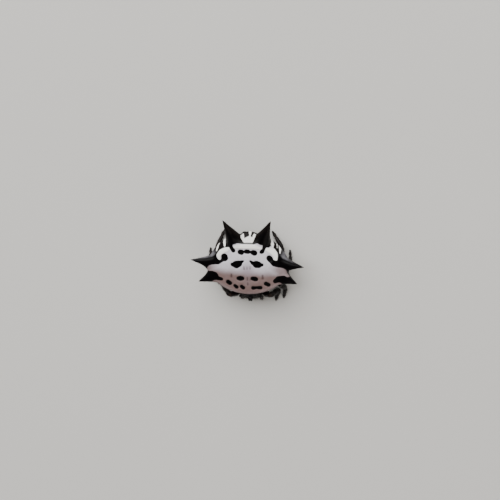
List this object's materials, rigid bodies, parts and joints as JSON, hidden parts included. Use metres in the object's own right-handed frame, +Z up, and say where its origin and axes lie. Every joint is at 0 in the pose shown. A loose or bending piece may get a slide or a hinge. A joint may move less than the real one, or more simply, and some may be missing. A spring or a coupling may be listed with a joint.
{
  "type": "spiny orb weaver",
  "caption": "Small orb-weaving spider with a broad, hard, white, black-spotted back drawn out into black spines, standing on short folded legs.",
  "frame": {"origin": "middle of the animal's outline in plan, on the floor that its feet stand on", "axes": "+X to the animal's left, along the line between the side spines; +Y to its tail; +Z up"},
  "size_m": [0.0124, 0.0104, 0.0056],
  "materials": {
    "back_shell": "hard waxy shell, off-white with glossy black spots and spines",
    "horn": "polished black horn with short pale hairs",
    "leg": "satin black-brown horn",
    "belly": "leathery black-brown skin",
    "eye": "wet black lens"
  },
  "bodies": {
    "root": {"abdomen": "back_shell", "spinnerets": "belly", "pedicel": "belly", "carapace": "horn", "sternum": "belly", "mouthparts": "belly", "eyes_middle": "eye", "eyes_left": "eye", "eyes_right": "eye", "chelicera_left": "horn", "chelicera_right": "horn", "pedipalp_left": "leg", "pedipalp_right": "leg", "leg_1_left": "leg", "leg_1_right": "leg", "leg_2_left": "leg", "leg_2_right": "leg", "leg_3_left": "leg", "leg_3_right": "leg", "leg_4_left": "leg", "leg_4_right": "leg"}
  },
  "joints": []
}
